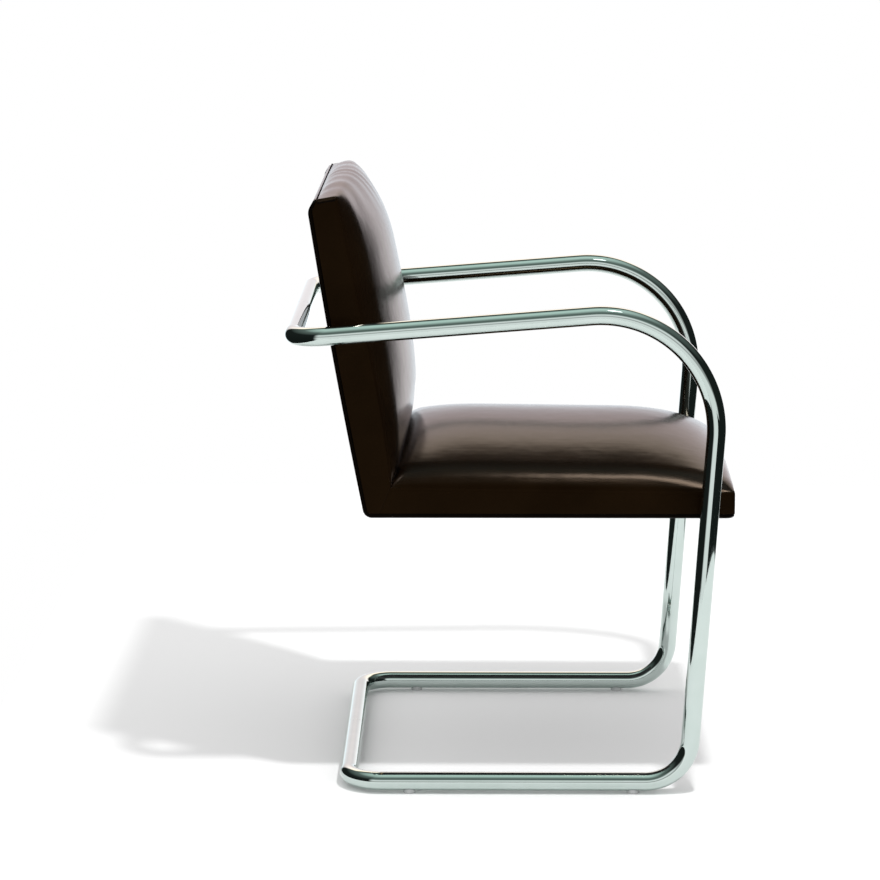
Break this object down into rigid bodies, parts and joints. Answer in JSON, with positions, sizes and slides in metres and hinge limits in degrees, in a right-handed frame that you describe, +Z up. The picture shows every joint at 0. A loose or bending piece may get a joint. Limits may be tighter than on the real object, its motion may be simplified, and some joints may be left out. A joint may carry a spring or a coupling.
{
  "type": "tubular side chair",
  "caption": "Cantilever side chair: bent chrome tube frame with arms, carrying a leather seat and back in one L-shaped unit with crowned padding and piped edges.",
  "frame": {"origin": "on the floor, in the middle of the chair's outline", "axes": "+Z up, -Y towards the front of the chair, X across it"},
  "size_m": [0.552, 0.594, 0.7944],
  "materials": {
    "frame_chrome": "polished",
    "fastener_steel": "satin",
    "glide_plastic": "matte",
    "hardwood": "matte",
    "webbing_rubber": "matte",
    "padding_foam": "matte",
    "leather_cover": "satin",
    "fibre_board": "matte",
    "dust_cloth": "matte"
  },
  "bodies": {
    "root": {"frame_tube_right": "frame_chrome", "frame_tube_left": "frame_chrome", "base_joint_sleeve": "fastener_steel", "rear_joint_sleeve": "fastener_steel", "floor_glides": "glide_plastic", "front_mount_bosses": "frame_chrome", "rear_mount_bosses": "frame_chrome", "mount_bolts": "fastener_steel", "mount_washers": "fastener_steel", "seat_rail_right": "hardwood", "seat_rail_left": "hardwood", "seat_front_rail": "hardwood", "seat_rear_rail": "hardwood", "back_stile_right": "hardwood", "back_stile_left": "hardwood", "back_top_rail": "hardwood", "back_lumbar_rail": "hardwood", "frame_dowels": "hardwood", "corner_plate_right": "fastener_steel", "corner_plate_left": "fastener_steel", "plate_screws": "fastener_steel", "front_corner_blocks": "hardwood", "seat_webbing": "webbing_rubber", "back_webbing": "webbing_rubber", "seat_foam": "padding_foam", "back_foam": "padding_foam", "seat_cover": "leather_cover", "back_cover": "leather_cover", "seat_boxing_right": "leather_cover", "seat_boxing_left": "leather_cover", "back_boxing_right": "leather_cover", "back_boxing_left": "leather_cover", "back_board": "fibre_board", "outside_back": "leather_cover", "dust_cover": "dust_cloth", "edge_welt": "leather_cover"}
  },
  "joints": []
}
